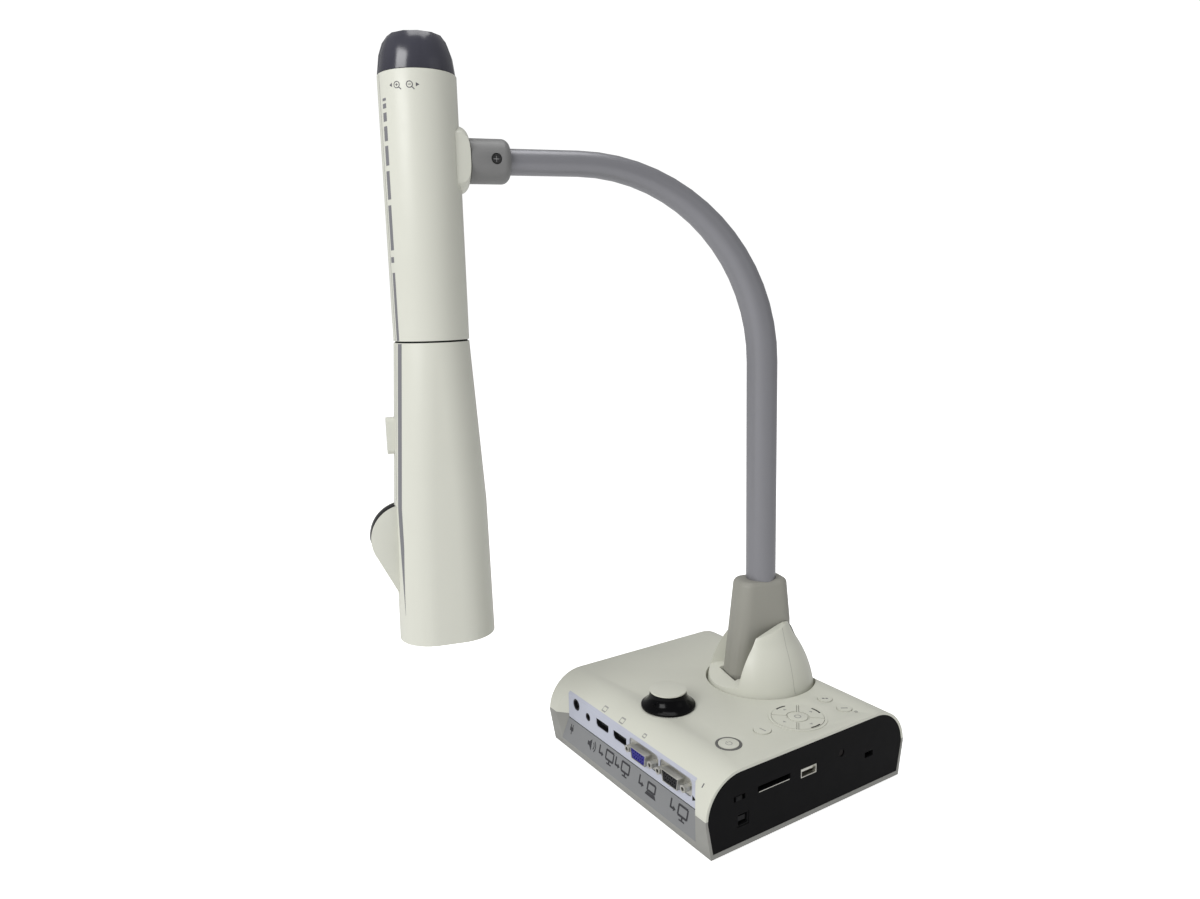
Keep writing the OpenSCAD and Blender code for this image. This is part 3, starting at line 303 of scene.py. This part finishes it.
def column_patch(z_stops, phi_at, lower, steps=4):
    """Strip of skin; phi_at(z) gives its two edges in degrees."""
    top, low = [], []
    for z in z_stops:
        a, b = phi_at(z)
        phis = [a + (b - a) * k / steps for k in range(steps + 1)]
        top.append([column_point(p, z, INK_LIFT, lower) for p in phis])
        low.append([column_point(p, z, -INK_SINK, lower) for p in phis])
    return sheet_mesh(top, low)


def spaced(a, b, count):
    return [a + (b - a) * k / count for k in range(count + 1)]


def prism(outline, place):
    """Closed prism of a convex outline; place(u, v, lift) gives points."""
    count = len(outline)
    verts = [place(u, v, INK_LIFT) for u, v in outline]
    verts += [place(u, v, -INK_SINK) for u, v in outline]
    faces = [tuple(range(count)), tuple(range(2 * count - 1, count - 1, -1))]
    for k in range(count):
        j = (k + 1) % count
        faces.append((k, k + count, j + count, j))
    return verts, faces


def bar(x0, y0, x1, y1, width):
    length = math.hypot(x1 - x0, y1 - y0)
    nx, ny = -(y1 - y0) / length * width / 2, (x1 - x0) / length * width / 2
    return [(x0 + nx, y0 + ny), (x0 - nx, y0 - ny), (x1 - nx, y1 - ny), (x1 + nx, y1 + ny)]


def arc(cx, cy, radius, width, start, end, steps=10):
    """Arc stroke as short quads."""
    quads = []
    angles = [math.radians(a) for a in spaced(start, end, steps)]
    for a, b in zip(angles, angles[1:]):
        r0, r1 = radius - width / 2, radius + width / 2
        quads.append([(cx + r0 * math.cos(a), cy + r0 * math.sin(a)),
                      (cx + r1 * math.cos(a), cy + r1 * math.sin(a)),
                      (cx + r1 * math.cos(b), cy + r1 * math.sin(b)),
                      (cx + r0 * math.cos(b), cy + r0 * math.sin(b))])
    return quads


def frame_bars(x0, y0, x1, y1, width):
    return [bar(x0, y0, x1, y0, width), bar(x1, y0, x1, y1, width),
            bar(x1, y1, x0, y1, width), bar(x0, y1, x0, y0, width)]


def resized(outlines, k):
    return [[(u * k, v * k) for u, v in line] for line in outlines]


def mark(name, outlines, place, look, body):
    verts, faces = join_meshes([prism(line, place) for line in outlines])
    add_mesh(name, verts, faces, look, body)


# Both sides of the head carry the same stripes.
STRIPE_TURN = 18.4
STRIPE_TWIST = 4.8
STRIPE_WIDE = 8.5
DASH_LOW = 357.0
DASH_SPAN = 90.0
LINE_TURN = (20.0, 27.0)
LINE_Z = (302.8, 342.0)
LOWER_Z = (135.5, 301.1)
LOWER_TIP = 134.5
LOWER_FADE = 178.0
SEAMS = ((15.2, "lower_head", 207.0, 301.1, True), (14.0, "upper_head", 302.8, 451.4, False))
SEAM_WIDE = 1.3
UPPER_DASHES = [(436.4, 437.8), (432.4, 434.9), (425.4, 430.1), (414.9, 422.8), (401.6, 412.3),
                (383.0, 398.6), (354.7, 379.8), (347.7, 350.9)]
for side in (1, -1):
    tag = "near" if side > 0 else "far"
    parts = []
    for z0, z1 in UPPER_DASHES:
        inner = STRIPE_TURN + STRIPE_TWIST * (z1 - DASH_LOW) / DASH_SPAN

        def dash_edges(_z, inner=inner, side=side):
            return side * inner, side * (inner + STRIPE_WIDE)

        parts.append(column_patch(spaced(z0, z1, max(1, round((z1 - z0) / 6))), dash_edges, False))

    def line_edges(z, side=side):
        return side * LINE_TURN[0], side * LINE_TURN[1]

    parts.append(column_patch(spaced(*LINE_Z, 6), line_edges, False))
    verts, faces = join_meshes(parts)
    add_mesh(f"stripe_upper_{tag}", verts, faces, "stripe", "upper_head")

    def lower_edges(z, side=side):
        drift = max(0.0, (FLARE_Z - z) / 68.0)
        inner = 22.6 + 7.4 * drift ** 1.3
        outer = 32.6 + 3.4 * drift
        if z < LOWER_FADE:
            outer = inner + (outer - inner) * (z - LOWER_TIP) / (LOWER_FADE - LOWER_TIP)
        return side * inner, side * outer

    verts, faces = column_patch(spaced(*LOWER_Z, 40), lower_edges, True)
    add_mesh(f"stripe_lower_{tag}", verts, faces, "stripe", "lower_head")
    for number, (phi, body, z0, z1, lower) in enumerate(SEAMS):

        def seam_edges(_z, phi=phi, side=side):
            return side * phi, side * (phi + SEAM_WIDE)

        verts, faces = column_patch(spaced(z0, z1, 24), seam_edges, lower, 1)
        add_mesh(f"front_line_{number}_{tag}", verts, faces, "ink_light", body)


def on_column(phi0, z0):
    """Flat sketch wrapped on the upper head; u runs round it, v down it."""
    def place(u, v, lift):
        phi = phi0 + math.degrees(u / HEAD_R)
        return column_point(phi, z0 + v, lift, False)
    return place


def magnifier(sign):
    shape = arc(0, 0, 1.7, 0.45, 0, 360, 16) + [bar(1.2, -1.2, 2.6, -2.6, 0.55)]
    shape.append(bar(-0.8, 0, 0.8, 0, 0.4))
    if sign > 0:
        shape.append(bar(0, -0.8, 0, 0.8, 0.4))
    return shape


ZOOM_MARKS = (
    ("icon_zoom_in", magnifier(1), 53.0, 443.6), ("icon_zoom_out", magnifier(-1), 72.0, 443.4),
    ("arrow_zoom_in", [[(0, 1.1), (-1.7, 0), (0, -1.1)]], 45.0, 443.8),
    ("arrow_zoom_out", [[(0, 1.1), (0, -1.1), (1.9, 0)]], 81.0, 443.3),
)
for name, shape, phi, z in ZOOM_MARKS:
    mark(name, shape, on_column(phi, z), "ink", "upper_head")

# ---------------------------------------------------------------- base marks
POWER = (-45.9, -63.9)
PAD = (13.6, -63.5)
PAD_SHADE_R = 16.1
SHADE_TURN = 14
PAD_ARROW_R = 12.2


def on_level(x0, y0, z0):
    def place(u, v, lift):
        return Vector(((x0 + u) * MM, (y0 + v) * MM, (z0 + lift) * MM))
    return place


KEY_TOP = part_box("power_button")[1].z / MM
mark("power_symbol", arc(0, -0.2, 2.0, 0.5, 125, 415, 18) + [bar(0, 0.4, 0, 2.6, 0.5)],
     on_level(*POWER, KEY_TOP), "ink_light", "power_key")
# Painted shade: dark arcs in the right, back and front pad slits where shade falls; the lit left
# slit gets none.
for name, angle, body in (("right", -3, "right_key"), ("back", 90, "back_key"),
                          ("front", 270, "front_key")):
    mark(f"pad_painted_shade_{name}", arc(0, 0, PAD_SHADE_R, 1.1, angle - SHADE_TURN, angle + SHADE_TURN, 10),
         on_level(*PAD, KEY_TOP), "gap", body)
ARROW = [(-1.3, -0.8), (1.3, -0.8), (0, 1.0)]
for name, angle, body in (("right", -90, "right_key"), ("back", 0, "back_key"),
                          ("left", 90, "left_key"), ("front", 180, "front_key")):
    turn = math.radians(angle)
    cos_t, sin_t = math.cos(turn), math.sin(turn)
    tip = [(u * cos_t - (v + PAD_ARROW_R) * sin_t, u * sin_t + (v + PAD_ARROW_R) * cos_t)
           for u, v in ARROW]
    mark(f"pad_arrow_{name}", [tip], on_level(*PAD, KEY_TOP), "ink_light", body)
mark("enter_ring", arc(0, 0, 2.0, 0.7, 0, 360, 20),
     on_level(*PAD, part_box("enter_button")[1].z / MM), "ink_light", "enter_key")


def key_centre(name):
    low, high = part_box(name)
    return (low.x + high.x) / 2 / MM, (low.y + high.y) / 2 / MM, high.z / MM


mark("menu_symbol", [bar(-0.1, 2.4, 0.4, -2.6, 0.9)], on_level(*key_centre("menu_button")),
     "ink_light", "menu_key")
mark("image_symbol", [bar(-1.6, 1.2, -0.2, 0.2, 1.1), bar(0.3, -0.2, 1.6, -1.2, 1.1)],
     on_level(*key_centre("image_button")), "ink", "image_key")
mark("record_symbol", [bar(-2.0, 1.2, 1.8, -1.2, 1.2)],
     on_level(*key_centre("record_button")), "ink_light", "record_key")

# Pictograms on the grey bezel under the sockets.
BEZEL_TOP = (79.5, 24.5)
BEZEL_LOW = (83.4, 7.4)
SHOULDER_R = 27.0
SHOULDER_Z = 25.0
FLAT_HALF = 59.0


def on_bezel(y0, z0):
    """u runs to the right as seen from the socket side (towards -Y)."""
    lean = (BEZEL_LOW[0] - BEZEL_TOP[0]) / (BEZEL_TOP[1] - BEZEL_LOW[1])

    def place(u, v, lift):
        z = z0 + v
        x = BEZEL_TOP[0] + (BEZEL_TOP[1] - z) * lean + lift
        return Vector((-x * MM, (y0 - u) * MM, z * MM))
    return place


def on_shoulder(y0, z0):
    """Sketch on the round shoulder above the sockets."""
    def place(u, v, lift):
        z = z0 + v
        radius = SHOULDER_R + lift
        x = FLAT_HALF + math.sqrt(radius ** 2 - min(radius, z - SHOULDER_Z) ** 2)
        return Vector((-x * MM, (y0 - u) * MM, z * MM))
    return place


def on_plate(y0, z0):
    def place(u, v, lift):
        return Vector((-(BEZEL_TOP[0] + lift) * MM, (y0 - u) * MM, (z0 + v) * MM))
    return place


ICON_SCALE = 1.04
MONITOR = (frame_bars(-4.2, -0.6, 4.2, 5.2, 1.3) + [bar(-2.6, -3.0, 2.6, -3.0, 0.9)]
           + [bar(0, -2.6, 0, -1.1, 1.4)])
LAPTOP = (frame_bars(-3.8, 0.2, 3.8, 5.0, 1.3)
          + [[(-5.6, -2.8), (5.6, -2.8), (4.2, -0.6), (-4.2, -0.6)]])
SPEAKER = ([[(-3.8, -1.3), (-1.8, -1.3), (-1.8, 1.3), (-3.8, 1.3)],
            [(-1.8, -1.3), (0.9, -3.8), (0.9, 3.8), (-1.8, 1.3)]]
           + arc(1.4, 0, 2.6, 0.8, -55, 55, 8) + arc(1.4, 0, 4.4, 0.8, -50, 50, 8))
PLUG = [bar(0, -3.2, 0, -0.8, 0.8), [(-2.0, -0.8), (2.0, -0.8), (2.0, 1.6), (-2.0, 1.6)],
        bar(-1.1, 1.6, -1.1, 3.6, 0.8), bar(1.1, 1.6, 1.1, 3.6, 0.8)]
HOOK_IN = [bar(-2.4, 3.6, -2.4, -1.4, 1.3), bar(-3.0, -1.4, 0.6, -1.4, 1.3),
           [(0.2, -3.0), (2.6, -1.4), (0.2, 0.2)]]
BEZEL_MARKS = (
    ("plug", PLUG, 67.0, 17.0), ("speaker", SPEAKER, 41.0, 17.0),
    ("hdmi_arrow", HOOK_IN, 27.3, 17.6), ("hdmi_screen", MONITOR, 17.4, 16.0),
    ("second_arrow", HOOK_IN, 7.5, 17.6), ("second_screen", MONITOR, -1.4, 16.0),
    ("laptop_arrow", HOOK_IN, -20.0, 17.6), ("laptop", LAPTOP, -30.5, 15.4),
    ("screen_arrow", HOOK_IN, -53.3, 17.6), ("screen", MONITOR, -62.6, 15.6),
)
for name, shape, y, z in BEZEL_MARKS:
    mark(f"bezel_{name}", resized(shape, ICON_SCALE), on_bezel(y, z), "ink_bezel", "base")
mark("plate_arrow", [[(-1.6, -1.8), (1.9, 0), (-1.6, 1.8)]], on_plate(-71.6, 30.6), "gap", "base")

SMALL_SCREEN = frame_bars(-2.1, -0.9, 2.1, 1.3, 0.55)
for number, y in enumerate((30.0, 9.0)):
    mark(f"shoulder_mark_{number}", SMALL_SCREEN, on_shoulder(y, 46.0), "ink_light", "base")
mark("shoulder_mark_2", frame_bars(-1.4, -0.7, 1.4, 0.7, 0.5),
     on_shoulder(-16.5, 46.2), "ink_light", "base")
mark("shoulder_mark_3", [bar(0, -1.0, 0, 1.0, 0.8)], on_shoulder(-79.5, 43.0), "ink", "base")

PANEL_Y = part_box("front_panel")[0].y / MM


def on_panel(x0, z0):
    def place(u, v, lift):
        return Vector(((x0 + u) * MM, (PANEL_Y - lift) * MM, (z0 + v) * MM))
    return place


# Painted highlight: a thin bright plated strip along the lower lip of the card slot.
mark("card_lip_painted_highlight", [bar(-12.6, 0, 12.6, 0, 0.45)], on_panel(-32.2, 32.0), "plated", "base")

# Painted shade: dark rings at the bottom of two gaps, between the head housings and behind the
# flange, stand in for the shade inside them.
SEAM_SHADE_RING = (20.5, 21.5, SEAM_Z + 0.1, SEAM_Z + 1.0)
FLANGE_SHADE_RING = (5.6, 12.6, 195.06, 195.36)


def around_head(angle, radius, height):
    return arm_point(HEAD_S + radius * math.cos(angle) * MM, radius * math.sin(angle) * MM,
                     height * MM)


def around_barrel(angle, radius, reach):
    return arm_point(reach * MM, radius * math.cos(angle) * MM,
                     (ARM_Z + radius * math.sin(angle)) * MM)


# Painted shade: a near-black ring sunk in a gap.
def gap_ring(name, place, sizes, body, count=64):
    """Closed ring of rectangular section; place(angle, radius, along) gives points."""
    inner, outer, low, high = sizes
    section = ((outer, low), (outer, high), (inner, high), (inner, low))
    verts, faces = [], []
    for k in range(count):
        angle = 2 * math.pi * k / count
        verts += [place(angle, radius, along) for radius, along in section]
        a, b = 4 * k, 4 * ((k + 1) % count)
        faces += [(a + j, a + (j + 1) % 4, b + (j + 1) % 4, b + j) for j in range(4)]
    add_mesh(name, verts, faces, "gap", body)


gap_ring("seam_painted_shade", around_head, SEAM_SHADE_RING, "upper_head")
gap_ring("flange_gap", around_barrel, FLANGE_SHADE_RING, "arm")

# Painted highlight: a bright metal cross in the recess of the barrel screw stands in for its
# glints.
RECESS_T = 11.1
SCREW_S = 180.2
CROSS_HALF = 1.8
CROSS_WIDE = 0.6


def on_barrel_screw(u, v, lift):
    return arm_point((SCREW_S + u) * MM, (RECESS_T + lift) * MM, (ARM_Z + v) * MM)


CROSS = [bar(-CROSS_HALF, 0, CROSS_HALF, 0, CROSS_WIDE),
         bar(0, -CROSS_HALF, 0, -CROSS_WIDE / 2, CROSS_WIDE),
         bar(0, CROSS_WIDE / 2, 0, CROSS_HALF, CROSS_WIDE)]
mark("screw_painted_glint", CROSS, on_barrel_screw, "glint", "arm")

# Hairline where the two halves of the hub dome meet.
DOME_R, DOME_ARC = 38.3, 75.8
DOME_FOOT = 40.0
CONE_Z, CONE_R, CONE_SLOPE = 75.0, 28.5, 0.44
HAIR_Z = (53.0, 94.2)
HAIR_S = (-7.25, -6.85)


def dome_radius(z):
    """Radius of the hub dome: an arc, then a cone."""
    return max(DOME_R - DOME_ARC + math.sqrt(DOME_ARC ** 2 - (z - DOME_FOOT) ** 2),
               CONE_R - (z - CONE_Z) * CONE_SLOPE)


for side in (1, -1):
    rows_top, rows_low = [], []
    for z in spaced(*HAIR_Z, 28):
        radius = dome_radius(z)
        row_top, row_low = [], []
        for s in HAIR_S:
            for lift, row in ((INK_LIFT * 0.6, row_top), (-INK_SINK, row_low)):
                reach = radius + lift
                t = math.sqrt(reach ** 2 - s ** 2)
                row.append(arm_point(s * MM, side * t * MM, z * MM))
        rows_top.append(row_top)
        rows_low.append(row_low)
    verts, faces = sheet_mesh(rows_top, rows_low)
    add_mesh(f"dome_line_{'near' if side > 0 else 'far'}", verts, faces, "hair", "hub")

# ---------------------------------------------------------------- stage and light
FLOOR_SIZE = 30.0
FLOOR_GLOW = (0.12, 0.85)
SURROUND = (0.34, 1.05)

bpy.ops.mesh.primitive_plane_add(size=FLOOR_SIZE, location=(0, 0, 0))
floor = bpy.context.object
floor.name = "floor"
paper = moulded("floor_paper", (0.90, 0.90, 0.90), 0.8, grain=300.0, depth=0.01, spread=0.004,
                shine=0.1)
shader = next(n for n in paper.node_tree.nodes if n.type == "BSDF_PRINCIPLED")
shader.inputs["Emission Color"].default_value = (1, 1, 1, 1)
seen = paper.node_tree.nodes.new("ShaderNodeLightPath")
glow = paper.node_tree.nodes.new("ShaderNodeMapRange")
glow.inputs["To Min"].default_value = FLOOR_GLOW[0]
glow.inputs["To Max"].default_value = FLOOR_GLOW[1]
paper.node_tree.links.new(seen.outputs["Is Camera Ray"], glow.inputs["Value"])
paper.node_tree.links.new(glow.outputs["Result"], shader.inputs["Emission Strength"])
floor.data.materials.append(paper)

# White surround for the camera, softer light for the object.
world = bpy.data.worlds.new("studio")
scene.world = world
world.use_nodes = True
tree = world.node_tree
surround = tree.nodes["Background"]
surround.inputs["Color"].default_value = (1, 1, 1, 1)
rays = tree.nodes.new("ShaderNodeLightPath")
level = tree.nodes.new("ShaderNodeMapRange")
level.inputs["To Min"].default_value = SURROUND[0]
level.inputs["To Max"].default_value = SURROUND[1]
tree.links.new(rays.outputs["Is Camera Ray"], level.inputs["Value"])
tree.links.new(level.outputs["Result"], surround.inputs["Strength"])


AIM = Vector((-0.05, 0.0, 0.2))


def area_light(name, place, width, power):
    """Square soft light at a place, turned to the aim point."""
    data = bpy.data.lights.new(name, "AREA")
    data.energy = power
    data.size = width
    obj = bpy.data.objects.new(name, data)
    obj.location = place
    obj.rotation_euler = (AIM - Vector(place)).to_track_quat("-Z", "Y").to_euler()
    scene.collection.objects.link(obj)


area_light("key", (-1.6, -0.5, 1.1), 0.9, 18.5)
area_light("top", (0.0, 0.1, 1.9), 1.0, 9.5)
area_light("fill", (0.9, -1.6, 0.9), 1.0, 0.8)
